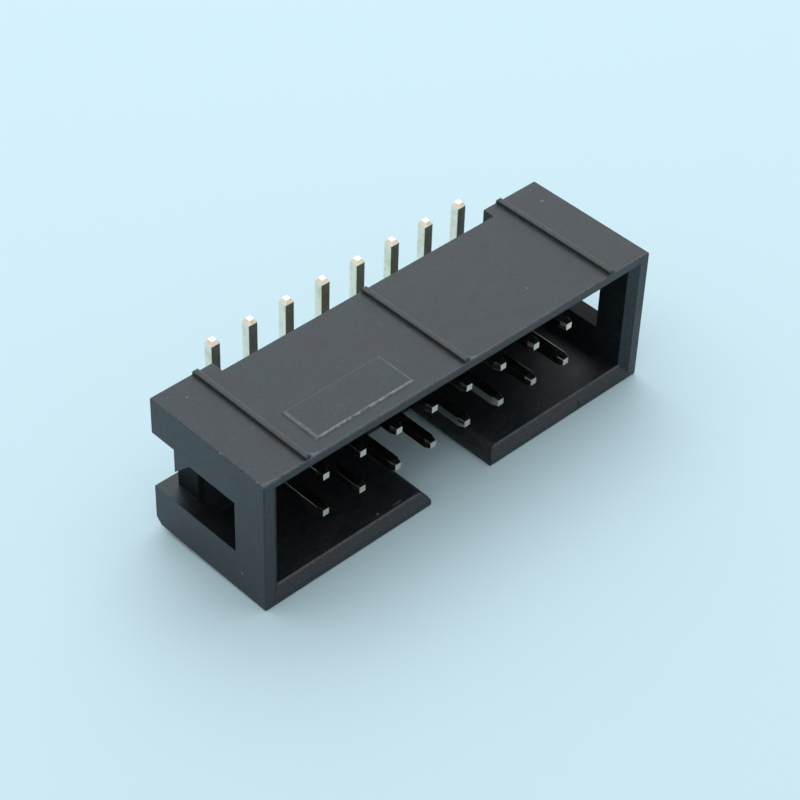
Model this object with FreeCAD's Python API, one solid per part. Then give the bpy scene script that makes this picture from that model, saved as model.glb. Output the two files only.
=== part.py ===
import FreeCAD, Part
import math
import os

# Box header for flat ribbon cable: a keyed four-walled moulding that holds two rows of square contacts.
# The tails are bent outwards for surface soldering. The part lies on its keyed side.
# All sizes are in millimetres. X runs along the rows, Y from the mouth to the solder side,
# and Z from the keyed side to the plain side.

# Contact grid
pitch = 2.54
row_spacing = 2.54
columns = 8

# Housing. The rims are what the lead-in leaves flat round the mouth.
end_margin = 5.0
housing_height = 8.7
end_wall = 1.15
side_wall = 1.0
end_rim = 0.66
side_rim = 0.42
lead_depth = 0.42
body_depth = 7.95
floor_thickness = 1.65
outer_round = 0.1

# Feet at the four rear corners
foot_length = 4.1
foot_rise = 0.78
foot_bevel = 0.45

# Polarising slot in the keyed wall. The land is the least flat edge left below the round lip.
key_width = 4.5
key_lip_radius = 0.8
key_lip_land = 0.12

# Latch opening in each end wall, which runs on as a channel beside the floor
latch_setback = 2.28
latch_sill = 2.65
latch_height = 3.4
channel_relief = 0.33
channel_depth = 0.95
tooth_inset = 0.97
tooth_drop = 1.22

# Raised ribs on the plain side, one near each end and one in the middle
rib_width = 0.42
rib_crown = 0.34
rib_height = 0.25
rib_round = 0.1
rib_setback = 0.1
rib_inset = 2.95

# Raised blank panel on the plain side, between two ribs
panel_length = 6.75
panel_width = 2.7
panel_rise = 0.1
panel_setback = 0.8
panel_gap = 1.15

# Contacts
post_width = 0.6
post_bevel = 0.05
post_setback = 1.02
post_clearance = 0.01
tip_length = 0.4
tip_width = 0.4
bend_radius = 0.4
solder_standoff = 2.17
tail_overhang = 0.39
tail_tip_length = 0.22
tail_tip_width = 0.32

# How far a cutting shape runs past the face that it cuts, and a raised shape into its carrier
overrun = 1.0
rooting = 0.1

# Places that follow from the sizes above
half_length = (columns - 1) * pitch / 2 + end_margin
foot_face = body_depth + foot_rise
floor_face = body_depth - floor_thickness
latch_top = latch_sill + latch_height
tooth_rear = body_depth - tooth_inset
post_half = post_width / 2
tail_face = body_depth + solder_standoff
tail_line = tail_face - post_half
middle_height = housing_height / 2


def vec(x, y, z):
    """A point or a direction."""
    return FreeCAD.Vector(x, y, z)


def box(low, high):
    """A box between its lowest and its highest corner."""
    return Part.makeBox(high[0] - low[0], high[1] - low[1], high[2] - low[2], vec(*low))


def flat(points):
    """A flat face inside a closed line of points."""
    return Part.Face(Part.makePolygon(points + points[:1]))


def tapered(near, far):
    """A solid between two outlines whose matching sides are parallel."""
    faces = [flat(near), flat(far)]
    for i in range(len(near)):
        j = (i + 1) % len(near)
        faces.append(flat([near[i], near[j], far[j], far[i]]))
    solid = Part.Solid(Part.Shell(faces))
    if solid.Volume < 0:
        solid.reverse()
    return solid


def rectangle(half_x, rise, y):
    """The corners of a rectangle across the mouth, at one depth and one rise above the keyed side."""
    z_low, z_high = rise, housing_height - rise
    return [vec(-half_x, y, z_low), vec(half_x, y, z_low), vec(half_x, y, z_high), vec(-half_x, y, z_high)]


def envelope():
    """The outer block, feet included, with soft edges everywhere but at the rear."""
    block = box((-half_length, 0, 0), (half_length, foot_face, housing_height))
    soft = [edge for edge in block.Edges if edge.CenterOfMass.y < foot_face - outer_round]
    return block.makeFillet(outer_round, soft)


def rear_relief():
    """What is cut from the rear so that only the four corner feet stand out."""
    inner = half_length - foot_length
    rear = foot_face + overrun
    between = box((-inner, body_depth, -overrun), (inner, rear, housing_height + overrun))
    past = half_length + overrun
    across = box((-past, body_depth, latch_sill), (past, rear, latch_top + channel_relief))
    bevel = [(foot_face - foot_bevel, 0), (foot_face, foot_bevel), (rear, foot_bevel)]
    bevel += [(rear, -overrun), (foot_face - foot_bevel, -overrun)]
    corner = flat([vec(-past, y, z) for y, z in bevel]).extrude(vec(2 * past, 0, 0))
    return [between, across, corner]


def cavity():
    """The mating space, which widens at the mouth."""
    half = half_length - end_wall
    space = box((-half, -overrun, side_wall), (half, floor_face, housing_height - side_wall))
    mouth = rectangle(half_length - end_rim, side_rim, 0)
    lead_in = tapered(mouth, rectangle(half, side_wall, lead_depth))
    return [space, lead_in]


def key_slot():
    """The slot through the keyed wall, with round lips on the inside."""
    half = key_width / 2
    radius = min(key_lip_radius, side_wall - key_lip_land)
    low = side_wall - radius
    diagonal = radius * math.sqrt(0.5)
    edges = []
    for side in (-1, 1):
        start = vec(side * half, 0, low)
        middle = vec(side * (half + radius - diagonal), 0, low + diagonal)
        end = vec(side * (half + radius), 0, side_wall)
        top = vec(side * (half + radius), 0, side_wall + overrun)
        edges.append(Part.makeLine(vec(side * half, 0, -overrun), start))
        edges.append(Part.Arc(start, middle, end).toShape())
        edges.append(Part.makeLine(end, top))
    for z, x in ((-overrun, half), (side_wall + overrun, half + radius)):
        edges.append(Part.makeLine(vec(-x, 0, z), vec(x, 0, z)))
    outline = Part.Wire(Part.sortEdges(edges)[0])
    slot = Part.Face(outline).extrude(vec(0, floor_face + overrun, 0))
    slot.translate(vec(0, -overrun, 0))
    return slot


def latch_prism(depth):
    """The latch opening's outline, cut into the right end face to a depth along X."""
    rear = foot_face + overrun
    high = latch_top + channel_relief
    points = [(latch_setback, latch_sill), (rear, latch_sill), (rear, high), (tooth_rear, high)]
    points += [(tooth_rear, latch_top - tooth_drop), (tooth_rear - tooth_drop, latch_top)]
    points += [(latch_setback, latch_top)]
    face = flat([vec(half_length - depth, y, z) for y, z in points])
    return face.extrude(vec(depth + overrun, 0, 0))


def latch_openings():
    """The openings through both end walls, with their channels to the rear."""
    low = (0, 0, 0)
    high = (half_length + overrun, floor_face, housing_height)
    through = latch_prism(end_wall + overrun).common(box(low, high))
    right = latch_prism(channel_depth).fuse(through)
    left = right.mirror(vec(0, 0, 0), vec(1, 0, 0))
    return [left, right]


def ribs():
    """The raised ribs, with sloping flanks and soft edges on the crown."""
    shapes = []
    root = housing_height - rooting
    crown = housing_height + rib_height
    half, half_crown = rib_width / 2, rib_crown / 2
    for x in (rib_inset - half_length, 0, half_length - rib_inset):
        rear = body_depth if abs(x) < half_length - foot_length else foot_face
        points = [(-half, root), (-half, housing_height), (-half_crown, crown)]
        points += [(half_crown, crown), (half, housing_height), (half, root)]
        outline = flat([vec(x + u, rib_setback, z) for u, z in points])
        rib = outline.extrude(vec(0, rear - rib_setback, 0))
        soft = [edge for edge in rib.Edges if edge.BoundBox.ZMin > crown - rib_round]
        shapes.append(rib.makeFillet(rib_round, soft))
    return shapes


def panel():
    """The raised blank panel, with sloping sides as deep as its rise."""
    left = rib_inset - half_length + panel_gap
    right = left + panel_length
    front = panel_setback
    rear = front + panel_width

    def outline(inset, z):
        low_x, high_x = left + inset, right - inset
        low_y, high_y = front + inset, rear - inset
        return [vec(low_x, low_y, z), vec(high_x, low_y, z), vec(high_x, high_y, z), vec(low_x, high_y, z)]

    root = box((left, front, housing_height - rooting), (right, rear, housing_height))
    return root.fuse(tapered(outline(0, housing_height), outline(panel_rise, housing_height + panel_rise)))


def contact_hole(x, z):
    """The hole for one contact through the floor."""
    half = post_half + post_clearance
    return box((x - half, floor_face - overrun, z - half), (x + half, body_depth + overrun, z + half))


def section(width, place):
    """The corners of a square post's section, with bevelled edges, placed by a function of (u, v)."""
    half = width / 2
    inner = half - post_bevel * width / post_width
    corners = [(half, inner), (inner, half), (-inner, half), (-half, inner)]
    corners += [(-half, -inner), (-inner, -half), (inner, -half), (half, -inner)]
    return [place(u, v) for u, v in corners]


def contact(x, z, side):
    """One contact from its mating tip through the floor to its tail. side is 1 to bend up, -1 down."""
    turn = bend_radius + post_half
    bend_start = tail_line - turn
    shoulder = post_setback + tip_length
    tail_top = middle_height + tail_overhang - row_spacing / 2
    tail_shoulder = tail_top - tail_tip_length

    def across(y):
        return lambda u, v: vec(u, y, v)

    def upright(height):
        return lambda u, v: vec(u, tail_line + v, height)

    tip = tapered(section(tip_width, across(post_setback)), section(post_width, across(shoulder)))
    shank = flat(section(post_width, across(shoulder))).extrude(vec(0, bend_start - shoulder, 0))
    bend = flat(section(post_width, across(bend_start))).revolve(vec(0, bend_start, turn), vec(1, 0, 0), 90)
    tail = flat(section(post_width, upright(turn))).extrude(vec(0, 0, tail_shoulder - turn))
    end = tapered(section(post_width, upright(tail_shoulder)), section(tail_tip_width, upright(tail_top)))
    shape = tip.multiFuse([shank, bend, tail, end]).removeSplitter()
    if side < 0:
        shape.rotate(vec(0, 0, 0), vec(0, 1, 0), 180)
    shape.translate(vec(x, 0, z))
    return shape


def contact_places():
    """Each contact's name, place and side, row by row."""
    for row, side in (("upper", 1), ("lower", -1)):
        for column in range(columns):
            x = (column - (columns - 1) / 2) * pitch
            yield f"{row}_contact_{column + 1}", x, middle_height + side * row_spacing / 2, side


def housing():
    """The whole moulding."""
    shape = envelope().cut(rear_relief() + cavity() + [key_slot()] + latch_openings())
    shape = shape.cut([contact_hole(x, z) for _, x, z, _ in contact_places()])
    return shape.fuse(ribs() + [panel()]).removeSplitter()


def write(name, shape):
    """Put a piece in the part's frame and save it. The origin is under the middle of the part."""
    placed = shape.copy()
    placed.translate(vec(0, -tail_face / 2, tail_overhang))
    placed.exportStep(os.path.join("parts", name + ".step"))


def main():
    """Build and save every piece."""
    os.makedirs("parts", exist_ok=True)
    write("housing", housing())
    for name, x, z, side in contact_places():
        write(name, contact(x, z, side))


main()
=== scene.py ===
"""The looks of a box header for flat ribbon cable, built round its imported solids.

The housing is dressed as a black moulding with soft edges, and each contact is drawn again as a
square wire with rounded corners and tin plating. A pale floor, soft lamps and a camera complete
the scene. Lengths in the classes are millimetres, and every mesh is in metres.
"""

from __future__ import annotations

import functools
import logging
import math
from dataclasses import dataclass, field
from enum import Enum
from typing import Any, Iterable, Sequence, Union

import bmesh
import bpy
from mathutils import Matrix, Vector


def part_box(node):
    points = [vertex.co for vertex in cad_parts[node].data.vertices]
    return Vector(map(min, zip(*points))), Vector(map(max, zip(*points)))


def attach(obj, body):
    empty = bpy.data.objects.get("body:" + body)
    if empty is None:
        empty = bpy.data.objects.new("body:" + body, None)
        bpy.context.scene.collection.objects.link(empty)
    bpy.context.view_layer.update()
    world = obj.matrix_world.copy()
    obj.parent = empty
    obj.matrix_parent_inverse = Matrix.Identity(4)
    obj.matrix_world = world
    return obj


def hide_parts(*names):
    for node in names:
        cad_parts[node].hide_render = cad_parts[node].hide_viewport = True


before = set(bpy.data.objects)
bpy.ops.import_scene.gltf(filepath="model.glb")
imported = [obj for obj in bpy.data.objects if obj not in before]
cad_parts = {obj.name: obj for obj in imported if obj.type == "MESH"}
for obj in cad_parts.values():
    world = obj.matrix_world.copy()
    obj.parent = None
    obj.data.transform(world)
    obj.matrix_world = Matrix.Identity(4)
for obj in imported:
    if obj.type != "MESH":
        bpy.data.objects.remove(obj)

LOG = logging.getLogger("box_header")
MM = 0.001
BODY = "root"
WIRE_POSITION = "wire_position"

Colour = tuple[float, float, float]
Place = tuple[float, float, float]
Span = tuple[float, float]
Number = Union[float, "Value"]


class Row(Enum):
    """The two rows of contacts, each with the way in which its tails turn."""

    UPPER = 1
    LOWER = -1

    @property
    def label(self) -> str:
        """The row's name in the names of its contacts."""
        return self.name.lower()


class Slot(Enum):
    """The names of the two finishes."""

    HOUSING = "housing_plastic"
    CONTACT = "contact_plating"


class Tree:
    """Adds nodes to a node tree, with their settings and inputs in one call."""

    def __init__(self, tree: bpy.types.NodeTree) -> None:
        """Take the tree that the nodes go into.

        Args:
            tree: A shader or geometry node tree.
        """
        self.tree = tree

    def node(self, kind: str, settings: dict[str, Any] | None = None,
             inputs: dict[str | int, Any] | None = None) -> bpy.types.Node:
        """Make one node.

        Args:
            kind: The node's type, such as "ShaderNodeMath".
            settings: The node's own settings, which are set before its inputs.
            inputs: Numbers, colours, sockets or values for its input sockets.

        Returns:
            The new node.
        """
        made = self.tree.nodes.new(kind)
        for name, setting in (settings or {}).items():
            setattr(made, name, setting)
        for key, given in (inputs or {}).items():
            self.feed(made.inputs[key], given)
        return made

    def feed(self, socket: bpy.types.NodeSocket, given: Any) -> None:
        """Link a socket or value into an input, or set the input to a number or colour.

        Args:
            socket: The input socket.
            given: What it gets.
        """
        source = given.socket if isinstance(given, Value) else given
        if isinstance(source, bpy.types.NodeSocket):
            self.tree.links.new(source, socket)
        else:
            socket.default_value = source


class Value:
    """One number that changes over a surface. Sums on values add Math nodes."""

    def __init__(self, tree: Tree, socket: bpy.types.NodeSocket) -> None:
        """Wrap a socket.

        Args:
            tree: The tree that further nodes go into.
            socket: The output socket that gives the number.
        """
        self.tree = tree
        self.socket = socket

    def _math(self, operation: str, *operands: Number) -> Value:
        """Add one Math node.

        Args:
            operation: The node's operation.
            operands: Its inputs in order.

        Returns:
            The result.
        """
        made = self.tree.node("ShaderNodeMath", {"operation": operation}, dict(enumerate(operands)))
        return Value(self.tree, made.outputs[0])

    def __add__(self, other: Number) -> Value:
        """Self plus other."""
        return self._math("ADD", self, other)

    def __sub__(self, other: Number) -> Value:
        """Self minus other."""
        return self._math("SUBTRACT", self, other)

    def __rsub__(self, other: Number) -> Value:
        """Other minus self."""
        return self._math("SUBTRACT", other, self)

    def __mul__(self, other: Number) -> Value:
        """Self times other."""
        return self._math("MULTIPLY", self, other)

    __radd__ = __add__
    __rmul__ = __mul__

    def above(self, low: float, high: float) -> Value:
        """A soft step.

        Args:
            low: Where the step starts, at 0.
            high: Where it ends, at 1. It may be less than low, for a step down.

        Returns:
            The step, between 0 and 1.
        """
        inputs = {"Value": self, "From Min": low, "From Max": high}
        made = self.tree.node("ShaderNodeMapRange", {"interpolation_type": "SMOOTHSTEP"}, inputs)
        return Value(self.tree, made.outputs["Result"])

    def within(self, low: float, high: float, soft: float) -> Value:
        """A soft window.

        Args:
            low: Where the window starts.
            high: Where it ends.
            soft: The width of its soft sides, which lie inside it.

        Returns:
            A mask that is 1 inside the window.
        """
        return self.above(low, low + soft) * self.above(high, high - soft)

    def most(self, other: Number) -> Value:
        """The larger of self and other."""
        return self._math("MAXIMUM", self, other)

    def least(self, other: Number) -> Value:
        """The smaller of self and other."""
        return self._math("MINIMUM", self, other)


@dataclass(frozen=True)
class Pattern:
    """Fractal noise: its waves for each millimetre, its finer layers and how strong those are."""

    scale: float
    detail: float = 3.0
    roughness: float = 0.55


@dataclass(frozen=True)
class Specks:
    """Round specks on a loose grid: its cells for each millimetre, their radius and share of cells."""

    scale: float
    size: float
    share: float


@dataclass(frozen=True)
class Mark:
    """A small mark: its place and its reach along each axis in millimetres, and how strong it is."""

    place: Place
    reach: Place
    strength: float


@dataclass(frozen=True)
class Strip:
    """A rubbed strip: its width and its soft sides in millimetres, and how strong it is."""

    width: float
    soft: float
    strength: float

    def mask(self, value: Value, start: float) -> Value:
        """The strip from a place on, measured along a value."""
        return value.within(start, start + self.width, self.soft) * self.strength


class Shader(Tree):
    """A material's node tree, with the few patterns that the finishes share."""

    def __init__(self, name: str) -> None:
        """Start a material with one Principled shader.

        Args:
            name: The material's name.
        """
        self.material = bpy.data.materials.new(name)
        self.material.use_nodes = True
        super().__init__(self.material.node_tree)
        self.tree.nodes.clear()
        self.surface = self.node("ShaderNodeBsdfPrincipled")
        self.output = self.node("ShaderNodeOutputMaterial", inputs={"Surface": self.surface.outputs["BSDF"]})

    def cover(self, mask: Value, colour: Colour, roughness: float, sheen: float) -> None:
        """Lay a second, plain surface over the first.

        Args:
            mask: Where it covers the first.
            colour: Its colour.
            roughness: Its roughness.
            sheen: How strongly it reflects.
        """
        inputs = {"Base Color": rgba(colour), "Roughness": roughness, "Specular IOR Level": sheen}
        second = self.node("ShaderNodeBsdfPrincipled", inputs=inputs)
        layers = {0: mask, 1: self.surface.outputs["BSDF"], 2: second.outputs["BSDF"]}
        self.feed(self.output.inputs["Surface"], self.node("ShaderNodeMixShader", inputs=layers).outputs[0])

    def object_place(self) -> bpy.types.NodeSocket:
        """The place on the object in millimetres, as a vector."""
        place = self.node("ShaderNodeTexCoord").outputs["Object"]
        return self.stretch(place, (1 / MM,) * 3)

    def attribute(self, name: str, output: str) -> bpy.types.NodeSocket:
        """One output of a named mesh attribute."""
        return self.node("ShaderNodeAttribute", {"attribute_name": name}).outputs[output]

    def stretch(self, place: bpy.types.NodeSocket, factors: Sequence[float]) -> bpy.types.NodeSocket:
        """A vector times a factor for each axis."""
        made = self.node("ShaderNodeVectorMath", {"operation": "MULTIPLY"}, {0: place, 1: tuple(factors)})
        return made.outputs["Vector"]

    def noise(self, place: bpy.types.NodeSocket, pattern: Pattern) -> Value:
        """Fractal noise about 0.5.

        Args:
            place: The vector that it is read at.
            pattern: Its scale and layers.

        Returns:
            The noise, between 0 and 1.
        """
        inputs = {"Vector": place, "Scale": pattern.scale, "Detail": pattern.detail,
                  "Roughness": pattern.roughness}
        return Value(self, self.node("ShaderNodeTexNoise", inputs=inputs).outputs["Fac"])

    def specks(self, place: bpy.types.NodeSocket, kind: Specks) -> Value:
        """Small round specks in some cells of a loose grid.

        Args:
            place: The vector that they are read at.
            kind: Their grid, size and number.

        Returns:
            A mask that is 1 on the specks.
        """
        cells = self.node("ShaderNodeTexVoronoi", inputs={"Vector": place, "Scale": kind.scale})
        dot = Value(self, cells.outputs["Distance"]).above(kind.size, kind.size / 2)
        chance = self.node("ShaderNodeSeparateColor", inputs={0: cells.outputs["Color"]}).outputs[0]
        return dot * Value(self, chance).above(1 - kind.share, 1 - kind.share + 0.01)

    def parts(self, vector: bpy.types.NodeSocket) -> list[Value]:
        """The three numbers of a vector."""
        made = self.node("ShaderNodeSeparateXYZ", inputs={0: vector})
        return [Value(self, socket) for socket in made.outputs]

    def mark(self, place: bpy.types.NodeSocket, mark: Mark, ragged: Value) -> Value:
        """One small mark at a place of its own.

        Args:
            place: The place on the object in millimetres.
            mark: Where the mark is and how far it reaches.
            ragged: Noise that makes its outline uneven.

        Returns:
            A mask as strong as the mark.
        """
        offset = self.node("ShaderNodeVectorMath", {"operation": "SUBTRACT"}, {0: place, 1: mark.place})
        shares = self.stretch(offset.outputs["Vector"], [1 / reach for reach in mark.reach])
        far = self.node("ShaderNodeVectorMath", {"operation": "LENGTH"}, {0: shares}).outputs["Value"]
        return (Value(self, far) + (ragged - 0.5) * 1.2).above(1.0, 0.5) * mark.strength

    def spread(self, place: bpy.types.NodeSocket, middle: Place) -> Value:
        """The distance from a point as seen from above.

        Args:
            place: The place on the object in millimetres.
            middle: The point, at height 0.

        Returns:
            The distance in millimetres.
        """
        level = self.stretch(place, (1.0, 1.0, 0.0))
        made = self.node("ShaderNodeVectorMath", {"operation": "DISTANCE"}, {0: level, 1: middle})
        return Value(self, made.outputs["Value"])

    def rise(self) -> Value:
        """How far the surface faces up, from -1 to 1."""
        return self.parts(self.node("ShaderNodeNewGeometry").outputs["Normal"])[2]

    def mix(self, factor: Number, first: Any, second: Any) -> bpy.types.NodeSocket:
        """A colour between two, by a factor from 0 to 1."""
        made = self.node("ShaderNodeMix", {"data_type": "RGBA"}, {0: factor, 6: first, 7: second})
        return made.outputs[2]

    def bump(self, height: Value, depth: float,
             under: bpy.types.NodeSocket | None = None) -> bpy.types.NodeSocket:
        """Turn a height into a normal.

        Args:
            height: The height, where 1 stands for depth.
            depth: The depth of the relief in millimetres.
            under: A normal that this relief lies on.

        Returns:
            The normal's socket.
        """
        inputs = {"Height": height, "Distance": depth * MM, "Strength": 1.0}
        if under is not None:
            inputs["Normal"] = under
        return self.node("ShaderNodeBump", inputs=inputs).outputs["Normal"]


def rgba(colour: Colour) -> tuple[float, float, float, float]:
    """A colour with full opacity."""
    return (*colour, 1.0)


def most(values: Sequence[Value]) -> Value:
    """The largest of some values."""
    return functools.reduce(Value.most, values)


@dataclass(frozen=True)
class MouldedBlack:
    """Black glass-filled plastic: a fine mould grain, pale edges that are partly rubbed and partly painted
    highlights, a few specks of dust, and painted shade inside.

    Places are millimetres in the part's frame, and a span gives where a soft step starts and ends
    or between which places something lies.
    """

    base: Colour = (0.0075, 0.0118, 0.0160)
    warm: Colour = (0.0205, 0.0155, 0.0155)
    cool: Colour = (0.0045, 0.0100, 0.0155)
    # pale colour of rubbed edges and of painted edge highlights; the grain's peaks take some of it too
    worn_and_highlight: Colour = (0.270, 0.275, 0.275)
    dust: Colour = (0.34, 0.35, 0.34)
    nick: Colour = (0.002, 0.002, 0.002)
    # painted shade inside the moulding and in the latch channels, laid on as a second surface
    shade: Colour = (0.0045, 0.0064, 0.0078)
    sheen: Colour = (0.80, 0.93, 1.0)
    sheen_level: float = 0.50
    shade_sheen: float = 0.08
    roughness: float = 0.43
    shade_roughness: float = 0.62
    nick_roughness: float = 0.4
    grain_roughness: float = 0.3
    cloud_roughness: float = 0.35
    grain_depth: float = 0.009
    swell_depth: float = 0.009
    grain_share: float = 0.17
    dust_share: float = 0.7
    hollow_shade_share: float = 0.3
    channel_shade_share: float = 0.9
    patches: Pattern = Pattern(0.45, 4.0)
    clouds: Pattern = Pattern(1.3, 5.0, 0.68)
    grain: Pattern = Pattern(9.0, 3.0, 0.72)
    chips: Pattern = Pattern(4.0, 5.0, 0.75)
    specks: tuple[Specks, ...] = (Specks(1.6, 0.05, 0.03), Specks(4.5, 0.13, 0.010))
    top: Span = (8.85, 9.05)
    crown: Span = (9.2, 9.3)
    upward: Span = (0.1, 0.4)
    rounding: Span = (0.99, 0.93)
    rounding_wear: float = 0.15
    rim: Strip = Strip(0.28, 0.07, 0.19)
    rim_start: float = -0.1
    lip: tuple[Span, Span] = ((-4.74, -4.60), (1.22, 1.44))
    lip_wear: float = 0.22
    ribs: tuple[float, ...] = (-10.94, 0.0, 10.94)
    rib_side: Strip = Strip(0.18, 0.06, 0.12)
    rib_side_start: float = 0.02
    bend: Strip = Strip(0.22, 0.06, 0.36)
    bend_radius: float = 0.5
    bend_offset: Span = (0.24, 0.11)
    panel: tuple[Span, Span] = ((-9.79, -3.04), (-4.26, -1.56))
    panel_soft: float = 0.06
    panel_front: Strip = Strip(0.17, 0.05, 1.0)
    panel_rear: Strip = Strip(0.16, 0.06, 0.26)
    panel_left: Strip = Strip(0.34, 0.10, 0.33)
    panel_right: Strip = Strip(0.20, 0.06, 0.40)
    hollow: tuple[Span, Span, Span] = ((-12.79, 12.79), (-4.66, 1.29), (1.34, 8.14))
    hollow_soft: float = 0.04
    channel: tuple[Span, Span, Span] = ((12.5, 13.86), (-2.86, 3.6), (2.98, 6.83))
    channel_walls: Span = (3.06, 3.10)
    channel_fade: Span = (3.0, 0.2)
    dusty: tuple[Mark, ...] = (
        Mark((-12.43, 2.50, 9.09), (0.10, 0.09, 0.3), 0.40),
        Mark((-13.86, -1.75, 9.07), (0.09, 0.12, 0.10), 0.35),
        Mark((-13.84, -4.55, 9.07), (0.07, 0.16, 0.10), 0.35),
        Mark((-13.68, -4.92, 9.09), (0.45, 0.26, 0.3), 0.13),
        Mark((-13.25, -4.98, 9.09), (0.55, 0.16, 0.3), 0.10),
        Mark((-11.60, 0.25, 9.09), (0.30, 0.22, 0.3), 0.06),
        Mark((-1.27, 0.25, 9.09), (0.16, 0.42, 0.3), 0.06),
        Mark((6.65, -2.76, 9.09), (0.08, 0.08, 0.3), 0.45),
        Mark((12.83, 2.09, 9.09), (0.20, 0.08, 0.3), 0.50),
        Mark((-13.89, -3.25, 1.84), (0.3, 0.10, 0.12), 0.50),
        Mark((-5.55, -4.38, 1.39), (0.11, 0.09, 0.3), 0.75),
        Mark((-4.20, -4.45, 1.39), (0.45, 0.08, 0.3), 0.40),
    )
    nicks: tuple[Mark, ...] = (
        Mark((9.20, -5.06, 0.85), (0.10, 0.3, 0.40), 0.8),
        Mark((-9.60, -5.06, 0.95), (0.12, 0.3, 0.10), 0.6),
    )

    def build(self) -> bpy.types.Material:
        """Make the material.

        Returns:
            The finished material.
        """
        shader = Shader("moulded_black")
        place = shader.object_place()
        clouds = shader.noise(shader.stretch(place, (0.5, 1.0, 1.0)), self.clouds)
        grain = shader.noise(place, self.grain)
        chips = shader.noise(place, self.chips)
        # pale edges: rubbed plastic and painted edge highlights, broken up by chips
        worn_and_highlight = self._rubbed_and_highlit(shader, place) * chips.above(0.25, 0.62)
        specks = most([shader.specks(place, kind) for kind in self.specks]
                      + [shader.mark(place, mark, grain) for mark in self.dusty])
        nicks = most([shader.mark(place, mark, chips) for mark in self.nicks])
        patches = shader.noise(place, self.patches)
        colour = shader.mix(patches.above(0.3, 0.7), rgba(self.cool), rgba(self.base))
        colour = shader.mix(clouds.above(0.42, 0.68), colour, rgba(self.warm))
        colour = shader.mix(grain.above(0.43, 0.80) * self.grain_share, colour, rgba(self.worn_and_highlight))
        colour = shader.mix(worn_and_highlight, colour, rgba(self.worn_and_highlight))
        colour = shader.mix(specks * self.dust_share, colour, rgba(self.dust))
        colour = shader.mix(nicks, colour, rgba(self.nick))
        shader.feed(shader.surface.inputs["Base Color"], colour)
        shader.surface.inputs["Specular IOR Level"].default_value = self.sheen_level
        shader.surface.inputs["Specular Tint"].default_value = rgba(self.sheen)
        uneven = (grain - 0.5) * self.grain_roughness + (clouds - 0.5) * self.cloud_roughness
        roughness = self.roughness + nicks * self.nick_roughness + uneven
        shader.feed(shader.surface.inputs["Roughness"], roughness)
        swell = shader.bump(clouds, self.swell_depth)
        shader.feed(shader.surface.inputs["Normal"], shader.bump(grain, self.grain_depth, swell))
        # painted shade: a darker, duller cover inside the moulding and in the latch channels, kept off dust
        # and pale edges
        inside = (self._hollow_shade(shader, place) * self.hollow_shade_share).most(self._channel_shade(shader, place))
        inside = inside * (1 - specks.most(worn_and_highlight))
        shader.cover(inside, self.shade, self.shade_roughness, self.shade_sheen)
        return shader.material

    def _rubbed_and_highlit(self, shader: Shader, place: bpy.types.NodeSocket) -> Value:
        """Find the pale edges: those of the plain side, which handling rubs and which also carry painted
        highlights, and the mouth's lower lip, which handling rubs.

        Args:
            shader: The material's tree.
            place: The place on the object in millimetres.

        Returns:
            A mask that is 1 where the plastic is rubbed pale or a highlight is painted.
        """
        x, y, z = shader.parts(place)
        rise = shader.rise()
        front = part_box("housing")[0].y / MM
        top = z.above(*self.top) * rise.above(*self.upward)
        deep, high = self.lip
        # the plain side's rim, rounded edges, bends, panel and ribs are painted highlight as well as
        # rubbing, the ribs more where they face up; the lip is only rubbed
        return most([
            top * rise.above(*self.rounding) * self.rounding_wear,
            top * self.rim.mask(y, front + self.rim_start),
            top * self._rubbed_and_highlit_bends(shader, place, front),
            top * self._rubbed_and_highlit_panel(x, y),
            rise * self._rubbed_and_highlit_ribs(x, z),
            y.within(*deep, soft=0.04) * z.within(*high, soft=0.04) * self.lip_wear,
        ])

    def _rubbed_and_highlit_bends(self, shader: Shader, place: bpy.types.NodeSocket, front: float) -> Value:
        """The pale bends, partly rubbed and partly painted highlight, by which the lines beside the first
        ribs run into the front edge's line.

        Args:
            shader: The material's tree.
            place: The place on the object in millimetres.
            front: Where the front edge is.

        Returns:
            A mask of thin quarter rings.
        """
        x, y = shader.parts(place)[:2]
        aside, behind = self.bend_offset
        bends = []
        for rib in self.ribs[:2]:
            across = rib + aside + self.bend_radius
            deep = front + behind + self.bend_radius
            distance = shader.spread(place, (across, deep, 0.0))
            ring = self.bend.mask(distance, self.bend_radius - self.bend.width / 2)
            bends.append(ring * x.above(across + 0.05, across) * y.above(deep + 0.05, deep))
        return most(bends)

    def _rubbed_and_highlit_panel(self, x: Value, y: Value) -> Value:
        """The pale sides of the raised panel, partly rubbed and partly painted highlight.

        Args:
            x: The place along the rows.
            y: The place from front to rear.

        Returns:
            A mask, strongest along the panel's front.
        """
        (left, right), (front, rear) = self.panel
        along = x.within(left, right, self.panel_soft)
        deep = y.within(front, rear, self.panel_soft)
        return most([
            along * self.panel_front.mask(y, front),
            along * self.panel_rear.mask(y, rear - self.panel_rear.width),
            deep * self.panel_left.mask(x, left),
            deep * self.panel_right.mask(x, right - self.panel_right.width),
        ])

    def _rubbed_and_highlit_ribs(self, x: Value, z: Value) -> Value:
        """The pale right side of each rib's crown, partly rubbed and partly painted highlight.

        Args:
            x: The place along the rows.
            z: The height.

        Returns:
            A mask of one strip for each rib.
        """
        sides = [self.rib_side.mask(x, rib + self.rib_side_start) for rib in self.ribs]
        return z.above(*self.crown) * most(sides)

    def _hollow_shade(self, shader: Shader, place: bpy.types.NodeSocket) -> Value:
        """Find the walls inside the moulding, where shade is painted with a darker and duller cover.

        Args:
            shader: The material's tree.
            place: The place on the object in millimetres.

        Returns:
            A mask that is 1 inside the moulding.
        """
        x, y, z = [value.within(*span, self.hollow_soft)
                   for value, span in zip(shader.parts(place), self.hollow)]
        return x * y * z

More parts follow.
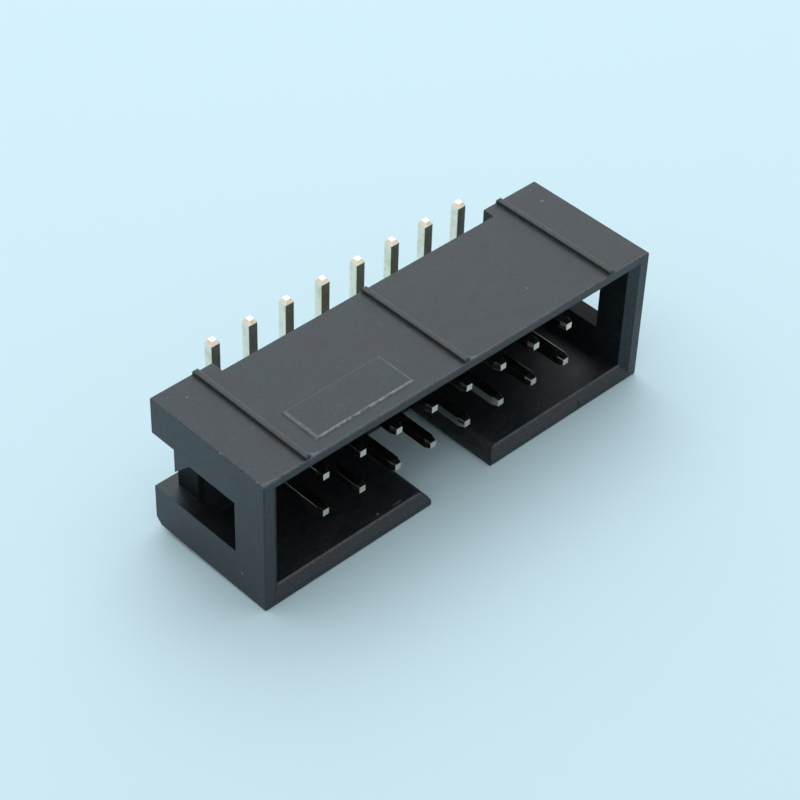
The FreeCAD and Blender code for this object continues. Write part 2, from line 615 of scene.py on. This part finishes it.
    def _channel_shade(self, shader: Shader, place: bpy.types.NodeSocket) -> Value:
        """Find the latch channels in both end walls, where shade is painted. Their floors grow darker
        towards the front.

        Args:
            shader: The material's tree.
            place: The place on the object in millimetres.

        Returns:
            A mask as strong as the channels' painted shade.
        """
        x, y, z = shader.parts(place)
        (inner, outer), deep, high = self.channel
        ends = x.within(-outer, -inner, soft=0.04).most(x.within(inner, outer, soft=0.04))
        dark = z.above(*self.channel_walls).most(y.above(*self.channel_fade))
        return ends * y.within(*deep, soft=0.05) * z.within(*high, soft=0.04) * dark * self.channel_shade_share


@dataclass(frozen=True)
class TinPlate:
    """Matte tin on drawn wire: faint lines along the wire and dull patches. The mating end is smoother, and
    the wire is darker where it lies inside the housing, as painted shade.

    Spans give where a soft step starts and ends, in millimetres from front to rear.
    """

    base: Colour = (0.88, 0.83, 0.70)
    dull: Colour = (0.72, 0.68, 0.50)
    # painted shade: the darker colour of the wire inside the housing
    shank_shade: Colour = (0.37, 0.36, 0.32)
    tip: Colour = (0.68, 0.62, 0.54)
    post_roughness: float = 0.15
    tail_roughness: float = 0.31
    dull_roughness: float = 0.10
    line_roughness: float = 0.08
    line_depth: float = 0.0004
    pit_depth: float = 0.0002
    post_dullness: float = 0.4
    post_lines: float = 0.1
    lines: Pattern = Pattern(14.0, 3.0, 0.6)
    line_stretch: Place = (1.0, 1.0, 0.06)
    pits: Pattern = Pattern(16.0, 2.0)
    patches: Pattern = Pattern(2.2, 4.0, 0.65)
    tip_end: Span = (-3.6, -3.75)
    shank_start: Span = (-4.02, -3.97)
    shank_end: Span = (2.0, 1.8)
    tail_start: Span = (2.4, 3.2)

    def build(self) -> bpy.types.Material:
        """Make the material.

        Returns:
            The finished material.
        """
        shader = Shader("tin_plate")
        place = shader.stretch(shader.attribute(WIRE_POSITION, "Vector"), (1 / MM,) * 3)
        lines = shader.noise(shader.stretch(place, self.line_stretch), self.lines)
        pits = shader.noise(place, self.pits)
        dull = shader.noise(place, self.patches).above(0.42, 0.72)
        depth = shader.parts(shader.object_place())[1]
        tail = depth.above(*self.tail_start)
        shank_shade = depth.above(*self.shank_start) * depth.above(*self.shank_end)
        dullness = dull * (self.post_dullness + tail * (1 - self.post_dullness))
        colour = shader.mix(dullness, rgba(self.base), rgba(self.dull))
        colour = shader.mix(depth.above(*self.tip_end), colour, rgba(self.tip))
        # painted shade: the wire is darkened inside the housing
        colour = shader.mix(shank_shade, colour, rgba(self.shank_shade))
        shader.feed(shader.surface.inputs["Base Color"], colour)
        shader.surface.inputs["Metallic"].default_value = 1.0
        roughness = self.post_roughness + tail * (self.tail_roughness - self.post_roughness)
        roughness = roughness + dull * self.dull_roughness + (lines - 0.5) * self.line_roughness
        shader.feed(shader.surface.inputs["Roughness"], roughness)
        drawn = shader.bump(lines * (self.post_lines + tail * (1 - self.post_lines)), self.line_depth)
        shader.feed(shader.surface.inputs["Normal"], shader.bump(pits * tail, self.pit_depth, drawn))
        return shader.material


@dataclass(frozen=True)
class PaleFloor:
    """The plain pale floor."""

    colour: Colour = (0.68, 0.90, 0.99)
    roughness: float = 0.8
    sheen_level: float = 0.2

    def build(self) -> bpy.types.Material:
        """Make the material.

        Returns:
            The finished material.
        """
        shader = Shader("pale_floor")
        shader.surface.inputs["Base Color"].default_value = rgba(self.colour)
        shader.surface.inputs["Roughness"].default_value = self.roughness
        shader.surface.inputs["Specular IOR Level"].default_value = self.sheen_level
        return shader.material


@dataclass
class Moulding:
    """The housing, copied from its solid and given softly rounded edges."""

    node: str = "housing"
    edge_round: float = 0.05
    edge_segments: int = 2
    edge_angle: float = 30.0
    merge_distance: float = 0.0005
    flat_angle: float = 0.6
    finish: MouldedBlack = field(default_factory=MouldedBlack)

    def build(self) -> list[bpy.types.Object]:
        """Make the housing's visible piece.

        Returns:
            The one piece.
        """
        piece = placed("moulded_housing", self._merged_copy())
        self._round_edges(piece)
        piece.data.materials.append(self.finish.build())
        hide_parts(self.node)
        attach(piece, BODY)
        return [piece]

    def _merged_copy(self) -> bpy.types.Mesh:
        """Copy the solid's loose triangles and join them into flat faces.

        Returns:
            A closed mesh.
        """
        mesh = bpy.data.meshes.new("moulded_housing")
        form = bmesh.new()
        form.from_mesh(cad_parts[self.node].data)
        bmesh.ops.remove_doubles(form, verts=form.verts, dist=self.merge_distance * MM)
        limit = math.radians(self.flat_angle)
        bmesh.ops.dissolve_limit(form, angle_limit=limit, verts=form.verts, edges=form.edges)
        form.to_mesh(mesh)
        form.free()
        return mesh

    def _round_edges(self, piece: bpy.types.Object) -> None:
        """Bevel the sharp edges.

        Args:
            piece: The housing's piece.
        """
        bevel = piece.modifiers.new("soft_edges", "BEVEL")
        bevel.width = self.edge_round * MM
        bevel.segments = self.edge_segments
        bevel.limit_method = "ANGLE"
        bevel.angle_limit = math.radians(self.edge_angle)
        bevel.miter_outer = "MITER_ARC"
        flatten_faces(piece)
        piece.data.polygons.foreach_set("use_smooth", [True] * len(piece.data.polygons))
        bake_modifiers(piece)


def placed(name: str, data: bpy.types.ID) -> bpy.types.Object:
    """Put a new object in the scene.

    Args:
        name: The object's name.
        data: Its mesh, curve, light or camera.

    Returns:
        The object, at the origin.
    """
    made = bpy.data.objects.new(name, data)
    bpy.context.scene.collection.objects.link(made)
    return made


def flatten_faces(piece: bpy.types.Object) -> None:
    """Shade large faces flat, so that only the rounded edges between them turn.

    Args:
        piece: The piece, which gets a modifier for it.
    """
    weighted = piece.modifiers.new("flat_faces", "WEIGHTED_NORMAL")
    weighted.mode = "FACE_AREA"
    weighted.weight = 100
    weighted.keep_sharp = True


def evaluated_mesh(piece: bpy.types.Object) -> bpy.types.Mesh:
    """What an object's modifiers make.

    Args:
        piece: The object, which keeps its modifiers.

    Returns:
        A plain mesh.
    """
    bpy.context.view_layer.update()
    graph = bpy.context.evaluated_depsgraph_get()
    seen = piece.evaluated_get(graph)
    return bpy.data.meshes.new_from_object(seen, preserve_all_data_layers=True, depsgraph=graph)


def bake_modifiers(piece: bpy.types.Object) -> None:
    """Put what the modifiers make into the mesh, and remove them.

    Args:
        piece: The piece whose modifiers are applied.
    """
    made = evaluated_mesh(piece)
    piece.modifiers.clear()
    piece.data = made
    made.name = piece.name


def smooth(mesh: bpy.types.Mesh, angle: float) -> None:
    """Shade a mesh smooth, apart from its sharpest edges.

    Args:
        mesh: The mesh.
        angle: The angle in degrees from which an edge stays sharp.
    """
    mesh.polygons.foreach_set("use_smooth", [True] * len(mesh.polygons))
    mesh.set_sharp_from_angle(angle=math.radians(angle))
    mesh.update()


@dataclass
class Wire:
    """The sizes of one contact's square wire."""

    width: float = 0.6
    corner: float = 0.06
    bend_radius: float = 0.7
    tip_width: float = 0.4
    tip_length: float = 0.4
    tail_tip_width: float = 0.32
    tail_tip_length: float = 0.22


class WireTree(Tree):
    """Geometry nodes that draw a square wire along a path, tapered at both ends."""

    INPUTS: tuple[str, ...] = ("Width", "Corner", "Bend Radius", "Tip Share", "Tip Length", "Tail Tip Share",
                               "Tail Tip Length")
    BEND_POINTS: int = 10
    CORNER_POINTS: int = 4

    def __init__(self, material: bpy.types.Material) -> None:
        """Build the tree.

        Args:
            material: The material that the wire gets.
        """
        super().__init__(bpy.data.node_groups.new("square_wire", "GeometryNodeTree"))
        face = self.tree.interface
        face.new_socket("Path", in_out="INPUT", socket_type="NodeSocketGeometry")
        for name in self.INPUTS:
            face.new_socket(name, in_out="INPUT", socket_type="NodeSocketFloat")
        face.new_socket("Wire", in_out="OUTPUT", socket_type="NodeSocketGeometry")
        self.given = self.node("NodeGroupInput").outputs
        wire = self._swept(self._bent_path())
        realized = self.node("GeometryNodeRealizeInstances", inputs={0: wire})
        dressed = self.node("GeometryNodeSetMaterial", inputs={0: realized.outputs[0], "Material": material})
        self.node("NodeGroupOutput", inputs={0: dressed.outputs[0]})

    def identifier(self, name: str) -> str:
        """The identifier by which a modifier knows one of the inputs."""
        return next(item.identifier for item in self.tree.interface.items_tree if item.name == name)

    def _bent_path(self) -> bpy.types.NodeSocket:
        """Round the path's corner.

        Returns:
            The path as a curve.
        """
        bend = {"Curve": self.given["Path"], "Count": self.BEND_POINTS, "Radius": self.given["Bend Radius"]}
        return self.node("GeometryNodeFilletCurve", {"mode": "POLY"}, bend).outputs[0]

    def _width_share(self) -> Value:
        """The wire's width along the path, as a share of its full width.

        Returns:
            A share that is less than 1 near both ends.
        """
        measure = self.node("GeometryNodeSplineParameter")
        done = Value(self, measure.outputs["Length"])
        whole = Value(self, self.node("GeometryNodeSplineLength").outputs["Length"])
        front = self._ramp(done, self.given["Tip Length"], self.given["Tip Share"])
        rear = self._ramp(whole - done, self.given["Tail Tip Length"], self.given["Tail Tip Share"])
        return front.least(rear)

    def _ramp(self, done: Value, length: bpy.types.NodeSocket, share: bpy.types.NodeSocket) -> Value:
        """The width's share near one end.

        Args:
            done: The distance from that end.
            length: The taper's length.
            share: The share at the very end.

        Returns:
            A share that grows from the end's share to 1.
        """
        inputs = {"Value": done, "From Min": 0.0, "From Max": length, "To Min": share, "To Max": 1.0}
        made = self.node("ShaderNodeMapRange", inputs=inputs)
        return Value(self, made.outputs["Result"])

    def _swept(self, path: bpy.types.NodeSocket) -> bpy.types.NodeSocket:
        """Sweep the square section along the path and keep each point's place in the wire.

        Args:
            path: The curve to follow.

        Returns:
            The wire's mesh.
        """
        square = self.node("GeometryNodeCurvePrimitiveQuadrilateral", {"mode": "RECTANGLE"},
                           {"Width": self.given["Width"], "Height": self.given["Width"]})
        corner = {"Curve": square.outputs[0], "Count": self.CORNER_POINTS, "Radius": self.given["Corner"]}
        section = self.node("GeometryNodeFilletCurve", {"mode": "POLY"}, corner).outputs[0]
        across = self.node("GeometryNodeCaptureAttribute", {"domain": "POINT"})
        across.capture_items.new("VECTOR", "Across")
        self.feed(across.inputs[0], section)
        self.feed(across.inputs[1], self.node("GeometryNodeInputPosition").outputs[0])
        along = self.node("GeometryNodeCaptureAttribute", {"domain": "POINT"})
        along.capture_items.new("FLOAT", "Along")
        self.feed(along.inputs[0], path)
        self.feed(along.inputs[1], self.node("GeometryNodeSplineParameter").outputs["Length"])
        swept = self.node("GeometryNodeCurveToMesh", inputs={
            "Curve": along.outputs[0], "Profile Curve": across.outputs[0],
            "Scale": self._width_share(), "Fill Caps": True})
        height = self.node("ShaderNodeCombineXYZ", inputs={"Z": along.outputs[1]}).outputs[0]
        place = self.node("ShaderNodeVectorMath", {"operation": "ADD"}, {0: across.outputs[1], 1: height})
        kind = {"data_type": "FLOAT_VECTOR", "domain": "POINT"}
        stored = self.node("GeometryNodeStoreNamedAttribute", kind, {
            "Geometry": swept.outputs[0], "Name": WIRE_POSITION, "Value": place.outputs["Vector"]})
        return stored.outputs[0]


@dataclass
class ContactRow:
    """One row of contacts, each swept from its mating tip to the end of its tail."""

    row: Row
    tree: WireTree
    columns: int = 8
    wire: Wire = field(default_factory=Wire)
    smooth_angle: float = 35.0
    pattern_shift: float = 5.4

    def build(self) -> list[bpy.types.Object]:
        """Make the row's contacts.

        Returns:
            One piece for each contact.
        """
        return [self._contact(number) for number in range(1, self.columns + 1)]

    def _contact(self, number: int) -> bpy.types.Object:
        """Make one contact where its solid is.

        Args:
            number: The contact's place in its row, from 1, which also shifts the plating's pattern.

        Returns:
            The contact's piece.
        """
        node = f"{self.row.label}_contact_{number}"
        mesh = self._swept_mesh(node)
        shift_wire_position(mesh, self.row.value * number * self.pattern_shift * MM)
        smooth(mesh, self.smooth_angle)
        piece = placed(f"plated_{node}", mesh)
        flatten_faces(piece)
        bake_modifiers(piece)
        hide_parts(node)
        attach(piece, BODY)
        return piece

    def _swept_mesh(self, node: str) -> bpy.types.Mesh:
        """Draw one contact's wire.

        Args:
            node: The solid's name.

        Returns:
            The wire's plain mesh.
        """
        guide = placed(f"path_{node}", self._path(node))
        self._sweep(guide)
        mesh = evaluated_mesh(guide)
        bpy.data.objects.remove(guide)
        return mesh

    def _path(self, node: str) -> bpy.types.Curve:
        """The contact's centre line, with one sharp corner at the bend.

        Args:
            node: The solid's name.

        Returns:
            A curve of straight runs.
        """
        low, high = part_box(node)
        half = self.wire.width / 2 * MM
        middle = (low.x + high.x) / 2
        level, end = (low.z + half, high.z) if self.row is Row.UPPER else (high.z - half, low.z)
        rear = high.y - half
        tip = self.wire.tip_length * MM
        tail_tip = self.wire.tail_tip_length * MM * self.row.value
        corners = [(low.y, level), (low.y + tip, level), (rear, level), (rear, end - tail_tip), (rear, end)]
        path = bpy.data.curves.new(node, "CURVE")
        path.dimensions = "3D"
        run = path.splines.new("POLY")
        run.points.add(len(corners) - 1)
        for point, (y, z) in zip(run.points, corners):
            point.co = (middle, y, z, 1.0)
        return path

    def _sweep(self, piece: bpy.types.Object) -> None:
        """Put the wire's nodes on a path.

        Args:
            piece: The object that holds the path.
        """
        sizes = {
            "Width": self.wire.width * MM,
            "Corner": self.wire.corner * MM,
            "Bend Radius": self.wire.bend_radius * MM,
            "Tip Share": self.wire.tip_width / self.wire.width,
            "Tip Length": self.wire.tip_length * MM,
            "Tail Tip Share": self.wire.tail_tip_width / self.wire.width,
            "Tail Tip Length": self.wire.tail_tip_length * MM,
        }
        sweep = piece.modifiers.new("square_wire", "NODES")
        sweep.node_group = self.tree.tree
        for name, size in sizes.items():
            sweep[self.tree.identifier(name)] = size


def shift_wire_position(mesh: bpy.types.Mesh, shift: float) -> None:
    """Move the plating's pattern along one wire, so that no two wires look the same."""
    for entry in mesh.attributes[WIRE_POSITION].data:
        entry.vector.z += shift


@dataclass(frozen=True)
class SoftLamp:
    """A square soft lamp that faces the part: its place and side in millimetres, its power in watts."""

    name: str
    place: Place
    side: float
    power: float
    tint: Colour = (0.94, 0.98, 1.0)

    def build(self) -> bpy.types.Object:
        """Hang the lamp.

        Returns:
            The lamp.
        """
        light = bpy.data.lights.new(self.name, "AREA")
        light.shape = "SQUARE"
        light.size = self.side * MM
        light.energy = self.power
        light.color = self.tint
        lamp = placed(self.name, light)
        lamp.location = Vector(self.place) * MM
        lamp.rotation_euler = (-lamp.location).to_track_quat("-Z", "Y").to_euler()
        return lamp


@dataclass
class Studio:
    """The floor, the lamps and the pale room round the part."""

    floor_size: float = 3000.0
    room: Colour = (0.95, 0.95, 0.95)
    room_strength: float = 0.46
    room_seen: float = 0.85
    lamps: tuple[SoftLamp, ...] = (
        SoftLamp("overhead", (0.0, 60.0, 320.0), 520.0, 0.71),
        SoftLamp("behind", (190.0, 210.0, 205.0), 420.0, 0.43),
    )
    finish: PaleFloor = field(default_factory=PaleFloor)

    def build(self) -> list[bpy.types.Object]:
        """Make the floor, the lamps and the room.

        Returns:
            The floor, which isn't part of the object.
        """
        self._world()
        for lamp in self.lamps:
            lamp.build()
        return [self._floor()]

    def _floor(self) -> bpy.types.Object:
        """A plane that touches the housing's front lower edge and the ends of the lower tails.

        Returns:
            The floor.
        """
        low_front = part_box("housing")[0]
        tail_low, tail_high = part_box("lower_contact_1")
        slope = (tail_low.z - low_front.z) / (tail_high.y - low_front.y)
        half = self.floor_size / 2 * MM
        corners = [(x * half, y * half) for x, y in ((-1, -1), (1, -1), (1, 1), (-1, 1))]
        points = [(x, y, low_front.z + (y - low_front.y) * slope) for x, y in corners]
        mesh = bpy.data.meshes.new("floor")
        mesh.from_pydata(points, [], [(0, 1, 2, 3)])
        mesh.materials.append(self.finish.build())
        floor = placed("floor", mesh)
        return floor

    def _world(self) -> None:
        """A plain pale room, paler to the eye and in reflections than in the light that it gives."""
        world = bpy.data.worlds.new("room")
        world.use_nodes = True
        tree = Tree(world.node_tree)
        tree.tree.nodes.clear()
        rays = tree.node("ShaderNodeLightPath").outputs
        seen = most([Value(tree, rays[f"Is {kind} Ray"]) for kind in ("Camera", "Glossy", "Transmission")])
        strength = self.room_strength + seen * (self.room_seen - self.room_strength)
        air = tree.node("ShaderNodeBackground", inputs={"Color": rgba(self.room), "Strength": strength})
        tree.node("ShaderNodeOutputWorld", inputs={"Surface": air.outputs[0]})
        bpy.context.scene.world = world


@dataclass
class PhotoCamera:
    """The camera where the photograph was taken from."""

    place: Place = (-66.35, -67.13, 87.03)
    azimuth: float = -44.73
    elevation: float = 41.61
    roll: float = 2.02
    focal_length: float = 104.91
    film_width: float = 36.0

    def build(self) -> bpy.types.Object:
        """Make the camera and look through it.

        Returns:
            The camera.
        """
        lens = bpy.data.cameras.new("photo_camera")
        lens.sensor_width = self.film_width
        lens.lens = self.focal_length
        lens.clip_start = MM
        camera = placed("photo_camera", lens)
        across, rise = math.radians(self.azimuth), math.radians(self.elevation)
        level = Matrix.Rotation(across, 4, "Z") @ Matrix.Rotation(math.pi / 2 - rise, 4, "X")
        turned = level @ Matrix.Rotation(math.radians(self.roll), 4, "Z")
        camera.matrix_world = Matrix.Translation(Vector(self.place) * MM) @ turned
        bpy.context.scene.camera = camera
        return camera


def report(part: str, pieces: Iterable[bpy.types.Object]) -> None:
    """Log each piece of one sub-assembly.

    Args:
        part: The sub-assembly's name.
        pieces: Its pieces.
    """
    for piece in pieces:
        LOG.info("%s: %s, %d faces", part, piece.name, len(piece.data.polygons))


def main() -> None:
    """Build the whole scene."""
    logging.basicConfig(level=logging.INFO, format="%(name)s %(message)s")
    bpy.context.scene.view_settings.view_transform = "Standard"
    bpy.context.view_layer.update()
    PhotoCamera().build()
    report("housing", Moulding().build())
    tree = WireTree(TinPlate().build())
    for row in Row:
        report(f"{row.label} row", ContactRow(row, tree).build())
    report("studio", Studio().build())


if __name__ == "__main__":
    main()
